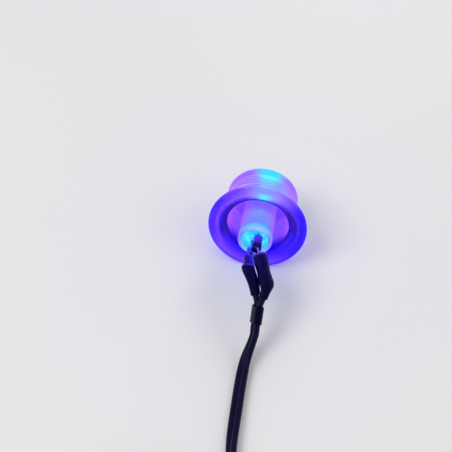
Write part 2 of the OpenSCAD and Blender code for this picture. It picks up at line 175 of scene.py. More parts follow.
def lathe(name, outline, place, turns=192, sharp=35):
    """Turns an outline of (radius, height) about an axis, with the share of its length as V."""
    build = bmesh.new()
    wrap = build.loops.layers.uv.new("outline")
    along, total = [0.0], 0.0
    for one, two in zip(outline, outline[1:]):
        total += math.dist(one, two)
        along.append(total)
    rings = []
    for radius, height in outline:
        if radius < 1e-6:
            pole = build.verts.new((0, 0, height * MM))
            rings.append([pole] * turns)
            continue
        ring = []
        for k in range(turns):
            a = math.tau * k / turns
            ring.append(
                build.verts.new((radius * math.cos(a) * MM, radius * math.sin(a) * MM, height * MM))
            )
        rings.append(ring)
    for i in range(len(rings) - 1):
        low, high = along[i] / total, along[i + 1] / total
        for k in range(turns):
            n = (k + 1) % turns
            corners = [
                (rings[i][k], k, low),
                (rings[i][n], k + 1, low),
                (rings[i + 1][n], k + 1, high),
                (rings[i + 1][k], k, high),
            ]
            kept = []
            for corner in corners:
                if all(corner[0] is not other[0] for other in kept):
                    kept.append(corner)
            face = build.faces.new([corner[0] for corner in kept])
            for loop, corner in zip(face.loops, kept):
                loop[wrap].uv = (corner[1] / turns, corner[2])
    bmesh.ops.transform(build, matrix=place, verts=build.verts)
    return finished_mesh(name, build, sharp)


def arc(radius, height, size, start, end, steps):
    """Points of an arc in an outline."""
    points = []
    for i in range(steps + 1):
        a = math.radians(start + (end - start) * i / steps)
        points.append((radius + size * math.cos(a), height + size * math.sin(a)))
    return points


# Sweeps, with the same stations and the same frames as the construction.
# A station is x, y and z, then width, thickness and twist where they count.
def smooth(points, steps):
    """A soft curve through points, each a tuple of numbers."""
    last = len(points) - 1
    out = []
    for i in range(last):
        p = [points[max(0, min(last, i + k))] for k in (-1, 0, 1, 2)]
        for j in range(steps):
            u = j / steps
            out.append(
                tuple(
                    0.5
                    * (
                        2 * b
                        + (c - a) * u
                        + (2 * a - 5 * b + 4 * c - d) * u * u
                        + (3 * b - a - 3 * c + d) * u * u * u
                    )
                    for a, b, c, d in zip(*p)
                )
            )
    out.append(tuple(points[-1]))
    return out


def way_at(stations, i):
    last = len(stations) - 1
    one, two = stations[max(0, i - 1)], stations[min(last, i + 1)]
    return (Vector(two[:3]) - Vector(one[:3])).normalized()


def across_and_through(way, twist):
    sideways = Vector((0, 0, 1)).cross(way).normalized()
    over = way.cross(sideways)
    t = math.radians(twist)
    return sideways * math.sin(t) + over * math.cos(t), sideways * math.cos(t) - over * math.sin(t)


def oval(width, thickness, less=0.0, sides=24):
    """A round or oblong section, as offsets across and through."""
    points = []
    for k in range(sides):
        a = math.tau * k / sides
        c = math.cos(a)
        flat = (width - thickness) / 2 * ((c > 1e-9) - (c < -1e-9))
        size = thickness / 2 - less
        points.append((flat + size * c, size * math.sin(a)))
    return points


def twin_wire():
    """The section of the flat lead: two round wires joined side by side."""
    right = [math.radians(a) for a in range(-150, 151, 25)]
    points = [(wire_out + wire_radius * math.cos(a), wire_radius * math.sin(a)) for a in right]
    return points + [(-x, -y) for x, y in points]


def section_ring(station, way, section):
    across, through = across_and_through(way, station[5] if len(station) > 5 else 0)
    middle = Vector(station[:3])
    return [middle + across * x + through * y for x, y in section]


def rod(name, points, width, sides=16):
    stations = [(*p[:3],) for p in points]
    rings = [
        section_ring(s, way_at(stations, i), oval(width, width, 0, sides))
        for i, s in enumerate(stations)
    ]
    return skin(name, rings, sharp=50)


def crumpled(ring, middle, amount, seed):
    """Pulls a ring's points a little inwards, as shrunk tubing does."""
    dents_rate = 1.3
    out = []
    for p in ring:
        dent = noise.noise(p * dents_rate + Vector((seed, 0, 0)))
        inwards = (middle - p).normalized()
        out.append(p + inwards * amount * (0.5 + 0.5 * dent))
    return out


def shrunk_tube(name, stations, wall, crease, seed, sides=32):
    """A heat-shrunk tube: outside, rolled lip, inside and the other lip, in one loop."""
    last = len(stations) - 1
    outside, inside = [], []
    for i, s in enumerate(stations):
        way = way_at(stations, i)
        ring = section_ring(s, way, oval(s[3], s[4], 0, sides))
        ends = 0.3 if i in (0, last) else 1.0
        outside.append(crumpled(ring, Vector(s[:3]), crease * ends, seed))
        inside.append(section_ring(s, way, oval(s[3], s[4], wall, sides)))

    def lip(i):
        s = stations[i]
        way = way_at(stations, i)
        return [section_ring(s, way, oval(s[3], s[4], wall * k, sides)) for k in (0.2, 0.5, 0.8)]

    loop = outside + lip(last) + inside[::-1] + lip(0)[::-1]
    return skin(name, loop, looped=True, sharp=70)


def strand_bundle(name, points, width, turns=0.8):
    """Six bare strands twisted round a middle one, along a line of points."""
    build = bmesh.new()
    count = 6
    size = width / 6
    line = smooth([tuple(p) for p in points], 8 if len(points) == 2 else 4)
    for k in range(count + 1):
        rows = []
        for i, p in enumerate(line):
            side, other = across_and_through(way_at(line, i), 0)
            a = math.tau * (k / count + turns * i / (len(line) - 1))
            out = 0 if k == count else width / 2 - size
            middle = Vector(p) + (side * math.cos(a) + other * math.sin(a)) * out
            rows.append(
                [
                    middle + (side * math.cos(b) + other * math.sin(b)) * size
                    for b in (math.tau * j / 8 for j in range(8))
                ]
            )
        add_rings(build, rows)
    return finished_mesh(name, build, 50)


# Materials
def colour(red, green, blue):
    """A colour as a screen shows it, turned into the renderer's own scale."""
    channels = []
    for level in (red, green, blue):
        c = level / 255
        channels.append(c / 12.92 if c <= 0.04045 else ((c + 0.055) / 1.055) ** 2.4)
    return (*channels, 1.0)


def add(tree, kind, **values):
    """A node with its settings; a name that isn't a setting is one of its inputs."""
    made = tree.nodes.new("ShaderNode" + kind)
    for key, value in values.items():
        if hasattr(made, key):
            setattr(made, key, value)
        else:
            put(tree, made, key.replace("_", " "), value)
    return made


def put(tree, made, socket, value):
    target = made.inputs[int(socket)] if str(socket).isdigit() else made.inputs[socket]
    if hasattr(value, "links"):
        tree.links.new(value, target)
    else:
        target.default_value = value


def sums(tree, operation, *values):
    made = tree.nodes.new("ShaderNodeMath")
    made.operation = operation
    for i, value in enumerate(values):
        put(tree, made, i, value)
    return made.outputs[0]


def ramp(tree, share, stops, ease="LINEAR"):
    made = tree.nodes.new("ShaderNodeValToRGB")
    made.color_ramp.interpolation = ease
    elements = made.color_ramp.elements
    for i, (at, tint) in enumerate(stops):
        element = elements[i] if i < 2 else elements.new(at)
        element.position = at
        element.color = tint
    tree.links.new(share, made.inputs[0])
    return made.outputs[0]


def band(tree, value, low, high, from_level=0.0, to_level=1.0):
    """A soft step from one level to another between two values."""
    made = tree.nodes.new("ShaderNodeMapRange")
    made.interpolation_type = "SMOOTHSTEP"
    put(tree, made, "Value", value)
    levels = {"From Min": low, "From Max": high, "To Min": from_level, "To Max": to_level}
    for key, level in levels.items():
        put(tree, made, key, level)
    return made.outputs[0]


def blend(tree, share, one, two):
    """A mix of two colours, from one to the other."""
    made = tree.nodes.new("ShaderNodeMix")
    made.data_type = "RGBA"
    put(tree, made, 0, share)
    first_colour = 6
    for i, value in enumerate((one, two)):
        put(tree, made, first_colour + i, value)
    return made.outputs[2]


def times(tree, *values):
    """The product of several values."""
    product = values[0]
    for value in values[1:]:
        product = sums(tree, "MULTIPLY", product, value)
    return product


def distance_from(tree, value, middle):
    return sums(tree, "ABSOLUTE", sums(tree, "SUBTRACT", value, middle))


def cloud(tree, scale, detail=2.0, **values):
    """Soft noise through the piece, from its own coordinates."""
    where = add(tree, "TexCoord").outputs["Object"]
    return add(tree, "TexNoise", Vector=where, Scale=scale, Detail=detail, **values).outputs[0]


def group(name, inputs, outputs):
    """A shader node group with its sockets; returns the group, its input and its output."""
    tree = bpy.data.node_groups.new(name, "ShaderNodeTree")
    for label, kind, default in inputs:
        socket = tree.interface.new_socket(label, in_out="INPUT", socket_type="NodeSocket" + kind)
        socket.default_value = default
    for label, kind in outputs:
        tree.interface.new_socket(label, in_out="OUTPUT", socket_type="NodeSocket" + kind)
    return tree, tree.nodes.new("NodeGroupInput"), tree.nodes.new("NodeGroupOutput")


def use(tree, effect, **values):
    made = tree.nodes.new("ShaderNodeGroup")
    made.node_tree = effect
    for key, value in values.items():
        put(tree, made, key.replace("_", " "), value)
    return made


def shader(name, **values):
    """A material and its Principled shader."""
    made = bpy.data.materials.new(name)
    made.use_nodes = True
    tree = made.node_tree
    main = tree.nodes["Principled BSDF"]
    for key, value in values.items():
        put(tree, main, key.replace("_", " "), value)
    return made, tree, main


def bump(tree, main, height, distance):
    made = add(tree, "Bump", Height=height, Distance=distance * MM)
    put(tree, main, "Normal", made.outputs[0])


def glow(tree, main, tint):
    """The same tint in the surface and in the light that it gives off."""
    put(tree, main, "Base Color", tint)
    put(tree, main, "Emission Color", tint)


def worn(tree, main, rough, smudged, scale, amount):
    """Gives a surface its roughness with smudges; returns the marks for its bumps."""
    left = use(tree, marks, Scale=scale, Amount=amount).outputs
    put(tree, main, "Roughness", sums(tree, "ADD", rough, times(tree, left["Smudge"], smudged)))
    return left


def own_frame(tree, place):
    """A point's place in a piece's own frame, in millimetres, as three sockets."""
    turned = add(
        tree,
        "Mapping",
        vector_type="TEXTURE",
        Vector=add(tree, "TexCoord").outputs["Object"],
        Location=place.translation,
        Rotation=place.to_euler(),
        Scale=(MM, MM, MM),
    )
    return add(tree, "SeparateXYZ", Vector=turned.outputs[0]).outputs


def handling_marks():
    """Fine scratches and smudges, shared by plastic and metal."""
    tree, given, out = group(
        "handling_marks",
        [("Scale", "Float", 900.0), ("Amount", "Float", 0.5)],
        [("Smudge", "Float"), ("Scratch", "Float")],
    )
    scale, amount = given.outputs["Scale"], given.outputs["Amount"]
    put(tree, out, "Smudge", times(tree, cloud(tree, scale, 3.0), amount))
    where = add(tree, "TexCoord").outputs["Object"]
    stretch = add(tree, "Mapping", Vector=where, Rotation=(0.3, 0.8, 0.5), Scale=(12, 1, 1))
    lines = add(tree, "TexNoise", Vector=stretch.outputs[0], Scale=scale, Detail=2.0)
    put(tree, out, "Scratch", times(tree, band(tree, lines.outputs[0], 0.60, 0.68), amount))
    return tree


def tubing_wrinkles():
    """The soft creases and fine grain of shrunk tubing, as a height."""
    tree, given, out = group(
        "tubing_wrinkles", [("Scale", "Float", 700.0)], [("Height", "Float"), ("Shine", "Float")]
    )
    large = cloud(tree, given.outputs["Scale"], Distortion=0.6)
    grain = cloud(tree, 9000.0)
    put(tree, out, "Height", sums(tree, "ADD", large, times(tree, grain, 0.15)))
    put(tree, out, "Shine", band(tree, large, 0.35, 0.7, 0.28, 0.46))
    return tree


def place_in_light():
    """Where a point is in the bezel: height over the rim plane, and its share up and sideways."""
    tree, _, out = group(
        "place_in_light",
        [],
        [("Height", "Float"), ("Radius", "Float"), ("Up", "Float"), ("Side", "Float")],
    )
    x, y, z = own_frame(tree, axis_place())
    radius = sums(tree, "SQRT", sums(tree, "ADD", times(tree, x, x), times(tree, y, y)))
    safe = sums(tree, "MAXIMUM", radius, 0.01)
    put(tree, out, "Height", z)
    put(tree, out, "Radius", radius)
    put(tree, out, "Up", sums(tree, "DIVIDE", y, safe))
    put(tree, out, "Side", sums(tree, "DIVIDE", x, safe))
    return tree


marks = handling_marks()
wrinkles = tubing_wrinkles()
lit_place = place_in_light()

# Places along the two legs, as in the construction
base = led_point(0, 0, 0)
resistor_length = 6.3
resistor_way = heading(21, 12)
resistor_middle = base + Vector((3.15, -10.1, 1.5))
resistor_start = resistor_middle - resistor_way * resistor_length / 2
resistor_end = resistor_middle + resistor_way * resistor_length / 2
gather_length = 3.8
gather_twist = 27
gather_start = base + Vector((3.1, -16.9, -2.0))
gather_way = heading(0, 45)
gather_end = gather_start + gather_way * gather_length
gather_across = across_and_through(gather_way, gather_twist)[0]
wires_end = gather_start + gather_way * gather_length / 2
right_wire = gather_start + gather_across * wire_out
left_wire = gather_start - gather_across * wire_out
out_bend = resistor_end + resistor_way * 0.5
out_way = (right_wire - out_bend).normalized()
out_tip = out_bend + out_way
positive_start = out_tip + out_way * 1.2
resistor_wire = 2.06
leg_half = 0.25
leg_reach = leg_half * (math.cos(lead_turn) + math.sin(lead_turn))
strand_side = -leg_reach - 0.37
wire_side = -leg_reach - 0.74
insulation_at = 5.9
cathode_x = -1.27
cathode_lean = math.radians(6)


def leaned(x, z):
    """A place beside the cathode lead, which leans a little outside the base."""
    c, s = math.cos(cathode_lean), math.sin(cathode_lean)
    out = x * c - z * s
    across = cathode_x + out * math.cos(lead_turn)
    return led_point(across, out * math.sin(lead_turn), x * s + z * c)


# The bezel's outline, from the middle of the window to the floor of the LED bore
bezel_zones = {}
window_at = -13.0
bore_floor = -11.8
barrel_radius = 8.6
wall_radius = 7.3
tube_radius = 3.95
tube_top = 4.6
bore_radius = 2.6
bead_radius = 0.6
dish_depth = 0.6
groove_count = 5
groove_start = -11.9
groove_pitch = 1.08
groove_width = 0.81
groove_depth = 0.2


def bezel_outline():
    points = [(radius, window_at) for radius in (0, 3.0, 6.0)]

    def zone(name, more):
        first = len(points)
        points.extend(more)
        bezel_zones[name] = (first, len(points) - 1)

    zone("far_edge", arc(8.0, -12.4, 0.6, -90, 0, 8))
    grooves = []
    for k in range(groove_count):
        start = groove_start + groove_pitch * k
        for j in range(9):
            u = j / 8
            deep_in = groove_depth * math.sin(math.pi * u)
            grooves.append((barrel_radius - deep_in, start + groove_width * u))
    zone("grooves", grooves)
    zone("land", [(barrel_radius, height) for height in (-6.2, -5.2, -4.2)])
    zone("neck", arc(10.3, -4.2, 1.7, 168, 108, 10))
    zone("back", [(10.0, -2.2), (10.6, -1.75)])
    zone("bead", arc(11.0, -bead_radius, bead_radius, -70, 90, 16))
    dish = []
    for j in range(1, 11):
        u = j / 10
        dish.append((10.4 - 2.6 * u, -dish_depth * math.sin(math.pi / 2 * u)))
    zone("dish", dish)
    throat = []
    for j in range(1, 9):
        u = j / 8
        throat.append((wall_radius + 0.5 * (1 - u) ** 1.6, -dish_depth - 0.7 * u))
    zone("throat", throat)
    zone("wall", [(wall_radius, height) for height in (-2.2, -4.0, -6.0, -8.6, -11.2)])
    zone("floor", arc(6.7, -11.2, 0.6, 0, -90, 6)[1:] + arc(4.55, -11.2, 0.6, -90, -180, 6))
    zone("boss", [(tube_radius, height) for height in (-7.0, -3.0, 0.0, 2.5, 4.3)])
    zone("boss_rim", arc(3.65, 4.3, 0.3, 0, 90, 6)[1:] + [(3.3, tube_top)])
    zone("mouth", [(3.0, tube_top), (3.0, 2.4)])
    zone("bore", [(bore_radius, height) for height in (2.4, -3.0, -7.0, bore_floor)])
    points.append((0, bore_floor))
    return points


bezel_points = bezel_outline()


def share_along(name, part=0.0):
    """How far along the outline a zone's point is, as a share of the whole."""
    first, last = bezel_zones[name]
    lengths = [math.dist(a, b) for a, b in zip(bezel_points, bezel_points[1:])]
    start, end = sum(lengths[:first]), sum(lengths[:last])
    return (start + (end - start) * part) / sum(lengths)


# Materials of this light
pale = colour(190, 168, 252)
rose = colour(176, 92, 244)
lavender = colour(150, 92, 246)
lilac = colour(160, 112, 250)
haze = colour(150, 148, 248)
violet = colour(108, 56, 246)
iris = colour(70, 26, 232)
indigo = colour(44, 10, 212)
cobalt = colour(44, 10, 200)
deep = colour(20, 0, 150)
ink = colour(6, 0, 90)
night = colour(2, 0, 30)
sky = colour(108, 168, 248)
aqua = colour(110, 214, 246)
cyan = colour(0, 252, 210)
black = colour(0, 0, 0)

# Most of these tints are painted light: pale, sky, aqua and cyan are painted glow and highlights of the
# LED, and deep and ink are painted shade, as in the dark ring round the mouth.
bezel_rows = [
    # zone, part of it, tint above, tint at its level, tint below
    ("far_edge", 0.0, sky, violet, iris),
    ("far_edge", 0.8, pale, pale, violet),
    ("grooves", 0.05, lavender, rose, violet),
    ("grooves", 0.95, sky, lavender, violet),
    ("land", 0.0, aqua, pale, violet),
    ("land", 0.12, aqua, pale, violet),
    ("land", 0.2, haze, rose, violet),
    ("neck", 0.1, haze, lavender, violet),
    ("neck", 0.8, lilac, iris, violet),
    ("back", 1.0, lilac, cobalt, violet),
    ("bead", 0.3, lilac, iris, iris),
    ("bead", 0.62, lilac, iris, iris),
    ("dish", 0.02, pale, violet, lavender),
    ("dish", 0.3, lilac, lavender, violet),
    ("dish", 0.5, lilac, iris, violet),
    ("dish", 0.62, lilac, deep, iris),
    ("dish", 0.72, iris, ink, iris),
    ("dish", 0.9, ink, ink, cobalt),
    ("throat", 0.9, ink, ink, deep),
    ("wall", 0.0, deep, deep, deep),
    ("wall", 0.1, pale, rose, iris),
    ("wall", 0.3, lavender, rose, lavender),
    ("floor", 0.5, rose, rose, lavender),
    ("boss", 0.1, lavender, lavender, violet),
    ("boss", 0.5, rose, rose, violet),
    ("boss", 0.84, lavender, lavender, haze),
    ("boss", 0.98, haze, haze, aqua),
    ("boss_rim", 0.4, pale, haze, haze),
    ("boss_rim", 0.9, sky, sky, aqua),
    ("mouth", 0.5, cyan, cyan, aqua),
    ("bore", 0.35, cyan, cyan, cyan),
    ("bore", 0.6, sky, sky, sky),
]


def outline_tint(tree, place):
    """The tint along the bezel's outline, mixed from the rows above, level and below: painted light on
    the upper side, more on the right, and painted shade below.
    """
    outline = add(tree, "UVMap", uv_map="outline").outputs[0]
    share = add(tree, "SeparateXYZ", Vector=outline).outputs[1]
    shades = []
    for k in (2, 3, 4):
        stops = [(share_along(row[0], row[1]), row[k]) for row in bezel_rows]
        shades.append(ramp(tree, share, stops, "EASE"))
    above, level, below = shades
    # Painted light and shade: the upper side takes the lighter tints, more towards the right, and the
    # lower side the darker ones.
    towards_right = band(tree, place["Side"], -0.65, 0.0, 0.2, 1.0)
    upper = times(tree, band(tree, place["Up"], 0.45, 0.92), towards_right)
    lower = band(tree, place["Up"], -0.25, -0.7)
    return blend(tree, lower, blend(tree, upper, level, above), below)


def ribbed_tint(tree, place, tint):
    """Painted highlights on the crests between the grooves, and painted shade, more violet, in the
    grooves.
    """
    first_crest = groove_start + (groove_width + groove_pitch) / 2
    from_crest = sums(tree, "SUBTRACT", place["Height"], first_crest)
    crest = sums(tree, "COSINE", times(tree, from_crest, math.tau / groove_pitch))
    on_barrel = band(tree, place["Radius"], 7.9, 8.2)
    ribbed = times(tree, band(tree, place["Height"], -5.9, -6.3), on_barrel)
    tint = blend(tree, times(tree, band(tree, crest, 0.4, 0.9, 0.0, 0.8), ribbed), tint, pale)
    grooved = times(tree, band(tree, crest, -0.3, -0.9, 0.0, 0.4), ribbed)
    return blend(tree, grooved, tint, violet)


def cyan_tint(tree, place, tint):
    """Painted light in the LED's cyan: a banded streak on the barrel, and a spot with a halo on the
    rim.
    """
    off_streak = distance_from(tree, place["Side"], 0.13)
    streak_width = band(tree, place["Height"], -7.5, -11.5, 0.34, 0.56)
    ripple = sums(tree, "SINE", times(tree, place["Height"], math.tau / groove_pitch))
    streak = times(
        tree,
        band(tree, place["Height"], -8.2, -10.2, 0.5, 1.2),
        band(tree, off_streak, streak_width, 0.1),
        band(tree, place["Up"], 0.4, 0.85),
        sums(tree, "ADD", 0.84, times(tree, ripple, 0.16)),
        band(tree, place["Height"], -2.2, -3.2),
        band(tree, place["Radius"], 7.9, 8.2),
    )
    off_spot = distance_from(tree, place["Side"], 0.07)
    halo = times(
        tree,
        band(tree, off_spot, 0.5, 0.0, 0.0, 0.5),
        band(tree, place["Up"], 0.5, 0.85),
        band(tree, place["Height"], -2.8, -2.0),
        band(tree, place["Radius"], 7.9, 8.4),
    )
    spot = times(
        tree,
        band(tree, off_spot, 0.22, 0.0, 0.0, 0.85),
        band(tree, place["Up"], 0.6, 0.9),
        band(tree, place["Height"], -0.8, -0.6),
        band(tree, place["Radius"], 7.9, 8.3),
        band(tree, place["Radius"], 9.7, 9.0),
    )
    shine = sums(tree, "MINIMUM", sums(tree, "MAXIMUM", streak, spot), 1.0)
    return blend(tree, shine, blend(tree, halo, tint, aqua), cyan)


def shaded_tint(tree, place, tint):
    """Painted shade: the right side of the rim is darker, and darkest round its mouth."""
    shade = times(
        tree,
        band(tree, place["Side"], 0.3, 0.9, 0.0, 0.85),
        band(tree, place["Height"], -2.4, -1.8),
        band(tree, place["Radius"], 7.6, 7.9),
    )
    round_mouth = times(
        tree,
        shade,
        band(tree, place["Radius"], 9.6, 8.9),
        band(tree, place["Up"], -0.3, 0.1),
    )
    return blend(tree, round_mouth, blend(tree, shade, tint, indigo), night)


def bezel_colours():
    """The colours of the lit plastic, above, level and below: its tint with painted glow, highlights
    and shade.
    """
    tree, _, out = group("bezel_colours", [], [("Tint", "Color")])
    place = use(tree, lit_place).outputs
    tint = outline_tint(tree, place)
    for change in (ribbed_tint, cyan_tint, shaded_tint):
        tint = change(tree, place, tint)
    put(tree, out, "Tint", tint)
    return tree


bezel_tint = bezel_colours()


def clear_plastic():
    # The violet specular tint paints violet reflections, and the plastic gives off its tint as a
    # painted glow of the LED.
    made, tree, main = shader(
        "clear_plastic",
        IOR=1.49,
        Specular_IOR_Level=0.35,
        Specular_Tint=(0.4, 0.3, 1.0, 1.0),
        Transmission_Weight=0.85,
        Emission_Strength=0.3,
    )
    glow(tree, main, use(tree, bezel_tint).outputs[0])
    left = worn(tree, main, 0.02, 0.12, scale=500.0, amount=0.5)
    place = use(tree, lit_place).outputs
    turning_rate = 17.0
    turning = sums(tree, "SINE", times(tree, place["Height"], turning_rate))
    rings = sums(tree, "SINE", times(tree, place["Radius"], turning_rate))
    height = sums(tree, "ADD", times(tree, turning, 0.5), times(tree, rings, 0.25))
    bump(tree, main, sums(tree, "ADD", height, left["Scratch"]), 0.02)
    return made


def lit_epoxy():
    made, tree, main = shader(
        "lit_epoxy",
        IOR=1.53,
        Transmission_Weight=0.25,
        Coat_Weight=0.2,
        Emission_Strength=0.5,
    )
    swirl = cloud(tree, 900.0, 3.0)
    dim, lit, bright = colour(20, 180, 215), colour(56, 216, 234), colour(150, 244, 248)
    glow(tree, main, ramp(tree, swirl, [(0.35, dim), (0.55, lit), (0.75, bright)]))
    put(tree, main, "Roughness", band(tree, swirl, 0.3, 0.7, 0.08, 0.2))
    bump(tree, main, swirl, 0.02)
    return made


def plated_metal(name, tint, dark, rough):
    """Bright metal with a draw grain and dull patches."""
    made, tree, main = shader(name, Metallic=1.0)
    patches = cloud(tree, 1300.0, 3.0)
    put(tree, main, "Base Color", ramp(tree, patches, [(0.3, dark), (0.7, tint)]))
    left = worn(tree, main, rough, 0.3, scale=1500.0, amount=0.6)
    bump(tree, main, sums(tree, "ADD", patches, left["Scratch"]), 0.01)
    return made


def lit_from_the_led(tree, main, tint):
    """Painted glow of the LED on the pieces next to it, which they give off, fading along the lead."""
    near = band(tree, use(tree, lit_place).outputs["Height"], 19.0, 8.0)
    put(tree, main, "Emission Color", blend(tree, near, black, tint))
    put(tree, main, "Emission Strength", 0.7)


def black_tubing(name, lip):
    """Shrunk tubing with a painted blue sheen and a painted blue glow of the LED; its cut end by the
    LED has a painted highlight.
    """
    made, tree, main = shader(name, Specular_IOR_Level=0.16, Specular_Tint=(0.2, 0.16, 0.8, 1.0))
    # Painted light: a dark blue glow, with a painted highlight on the cut end by the lip.
    cut = band(tree, own_frame(tree, lip)[2], 0.7, 0.1)
    lit_from_the_led(tree, main, blend(tree, cut, colour(10, 2, 92), colour(112, 76, 246)))
    dust = cloud(tree, 2500.0, 4.0)
    clean, dusty = colour(2, 1, 26), colour(10, 7, 46)
    put(tree, main, "Base Color", ramp(tree, dust, [(0.45, clean), (0.8, dusty)]))
    folds = use(tree, wrinkles, Scale=900.0).outputs
    put(tree, main, "Roughness", folds["Shine"])
    bump(tree, main, folds["Height"], 0.06)
    return made


def thin_blue_tubing():
    """The thin sleeve on the long leg: nearly black, with a painted blue glow of the LED, brightest on
    the LED's side.
    """
    made, tree, main = shader("thin_tubing", Emission_Strength=1.0, Specular_IOR_Level=0.08)
    near = band(tree, own_frame(tree, leg_place)[2], -5.8, -0.8)
    put(tree, main, "Base Color", times(tree, near, 0.02))
    far, dim, lit, bright = colour(3, 0, 44), colour(8, 1, 84), colour(50, 26, 216), colour(66, 40, 240)
    stops = [(0.0, far), (0.12, dim), (0.3, lit), (0.8, bright)]
    put(tree, main, "Emission Color", ramp(tree, near, stops))
    folds = use(tree, wrinkles, Scale=1100.0).outputs
    put(tree, main, "Roughness", folds["Shine"])
    bump(tree, main, folds["Height"], 0.04)
    return made


def black_insulation():
    """The wires' insulation, smooth and slightly smudged, with a painted blue sheen and a painted glow
    of the LED.
    """
    painted_blue_sheen = (0.3, 0.28, 0.8, 1.0)
    made, tree, main = shader("black_insulation", Specular_IOR_Level=0.2, Specular_Tint=painted_blue_sheen)
    lit_from_the_led(tree, main, colour(24, 4, 168))
    patches = cloud(tree, 350.0, 4.0)
    dark, dull = colour(3, 2, 26), colour(12, 10, 44)
    put(tree, main, "Base Color", ramp(tree, patches, [(0.4, dark), (0.75, dull)]))
    left = worn(tree, main, 0.26, 0.3, scale=1200.0, amount=0.5)
    bump(tree, main, sums(tree, "ADD", patches, left["Scratch"]), 0.02)
    return made


def resistor_paint():
    """Lacquer with the five colour rings of 470 ohm."""
    made, tree, main = shader("resistor_paint", Coat_Weight=0.2)
    place = place_towards(resistor_start, resistor_way)
    along = sums(tree, "DIVIDE", own_frame(tree, place)[2], resistor_length)
    lacquer = colour(120, 168, 190)
    yellow, purple = colour(228, 200, 40), colour(120, 60, 190)
    soot, brown = colour(20, 18, 22), colour(120, 72, 36)
    ring_half = 0.035
    stops = [(0.0, lacquer)]
    for at, tint in ((0.14, yellow), (0.32, purple), (0.46, soot), (0.60, soot), (0.84, brown)):
        stops += [(at - ring_half, tint), (at + ring_half, lacquer)]
    put(tree, main, "Base Color", ramp(tree, along, stops, "CONSTANT"))
    left = worn(tree, main, 0.25, 0.2, scale=1200.0, amount=0.5)
    bump(tree, main, left["Smudge"], 0.02)
    return made


def lit_chip():
    made, tree, main = shader("lit_chip", Emission_Strength=1.0)
    stops = [(0.3, colour(150, 250, 250)), (0.7, colour(235, 255, 255))]
    glow(tree, main, ramp(tree, cloud(tree, 6000.0), stops))
    return made


plastic = clear_plastic()
epoxy = lit_epoxy()
# Tin, solder and copper by the LED are violet, a painted reflection of its light; the tinned ends far
# from it are plain tin.
tinned = plated_metal("tin_in_painted_violet_light", colour(150, 130, 246), colour(92, 60, 232), 0.22)
tinned_ends = plated_metal("tinned_ends", colour(212, 213, 216), colour(158, 160, 166), 0.25)
solder = plated_metal("solder", colour(120, 96, 240), colour(70, 40, 220), 0.3)
copper = plated_metal("copper_in_painted_violet_light", colour(176, 110, 220), colour(110, 60, 210), 0.28)
gold = plated_metal("gold_wire", colour(240, 200, 110), colour(196, 150, 70), 0.2)
resistor_lip = place_towards(resistor_start - resistor_way, resistor_way)
resistor_tubing = black_tubing("resistor_tubing", resistor_lip)
cathode_mouth = leaned(wire_side, -9.33)
cathode_way = (leaned(wire_side, -9.9) - cathode_mouth).normalized()
cathode_tubing = black_tubing("cathode_tubing", place_towards(cathode_mouth, cathode_way))
gather_tubing = black_tubing("gather_tubing", place_towards(gather_start, gather_way))
thin_tubing = thin_blue_tubing()
insulation = black_insulation()
paint = resistor_paint()
chip = lit_chip()


def finish_piece(piece, material, slot, *nodes):
    """Gives a new piece its material and lets it stand for CAD nodes; the slot is not used."""
    piece.data.materials.append(material)
    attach(piece, "root")
    if nodes:
        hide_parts(*nodes)


def finish_node(name, material):
    """Gives a CAD node that is shown as it is a finished material."""
    mesh = frame["nodes"][name].data
    mesh.materials.clear()
    mesh.materials.append(material)


# The coil of the flat lead: its turns' radii, and the angles in degrees where they change
coil_middle = Vector((-9.5, -66.5, 1.45))
outer_turn, inner_turn = 15.7, 14.3
step_from, step_to, coil_end = -300, -360, -655


def coil_point(degrees, radius):
    a = math.radians(degrees)
    return coil_middle + Vector((math.cos(a), math.sin(a), 0)) * radius


def coil_stations():
    """One turn outside, a soft step inwards, and the rest of the second turn inside it."""
    stations = []
    for degrees in [-10 * k for k in range(1, 66)] + [coil_end]:
        u = min(max((step_from - degrees) / (step_from - step_to), 0), 1)
        radius = outer_turn + (inner_turn - outer_turn) * (3 - 2 * u) * u * u
        stations.append((*coil_point(degrees, radius), 0, 0, 0))
    return stations


def flat_lead():
    """The flat lead on the surface and its coil, one tube of two joined wires."""
    route = [
        (3.15, -19.3, 6.6, 27), (3.15, -20.1, 5.5, 30), (2.8, -21.5, 4.1, 36),
        (2.35, -23.1, 2.9, 44), (2.0, -24.9, 1.95, 51), (1.85, -27.0, 1.35, 56),
        (1.8, -29.5, 1.15, 57), (1.8, -32.5, 1.15, 57), (1.85, -36.0, 1.15, 56),
        (1.9, -40.0, 1.2, 52), (2.1, -44.5, 1.3, 38), (2.85, -49.0, 1.4, 20),
        (4.1, -53.4, 1.45, 6), (5.4, -57.4, 1.45, 0), (6.2, -61.0, 1.45, 0),
        (6.2, -63.8, 1.45, 0), (6.2, -66.5, 1.45, 0),
    ]
    inner = [wires_end, wires_end + gather_way * 0.3, gather_end - gather_way * 0.4]
    stations = [(*p, 0, 0, gather_twist) for p in inner]
    stations += [(x, y, z, 0, 0, twist) for x, y, z, twist in route]
    stations = smooth(stations, 2) + coil_stations()
    section = twin_wire()
    rings = [section_ring(s, way_at(stations, i), section) for i, s in enumerate(stations)]
    piece = skin("flat_lead", rings, sharp=60)
    finish_piece(piece, insulation, "wire_insulation", "cable", "cable_coil")

    last = math.radians(coil_end)
    out = Vector((math.cos(last), math.sin(last), 0))
    along = Vector((math.sin(last), -math.cos(last), 0))
    inwards = math.radians(8)
    way = (along * math.cos(inwards) - out * math.sin(inwards)).normalized()
    for name, level in (("positive_tinned_end", wire_out), ("negative_tinned_end", -wire_out)):
        start = coil_middle + out * inner_turn + Vector((0, 0, level)) + along * 0.05
        end = strand_bundle(name + "_strands", [start, start + way * 4.4], 0.7, turns=1.6)
        finish_piece(end, tinned_ends, "tinned_copper", name)


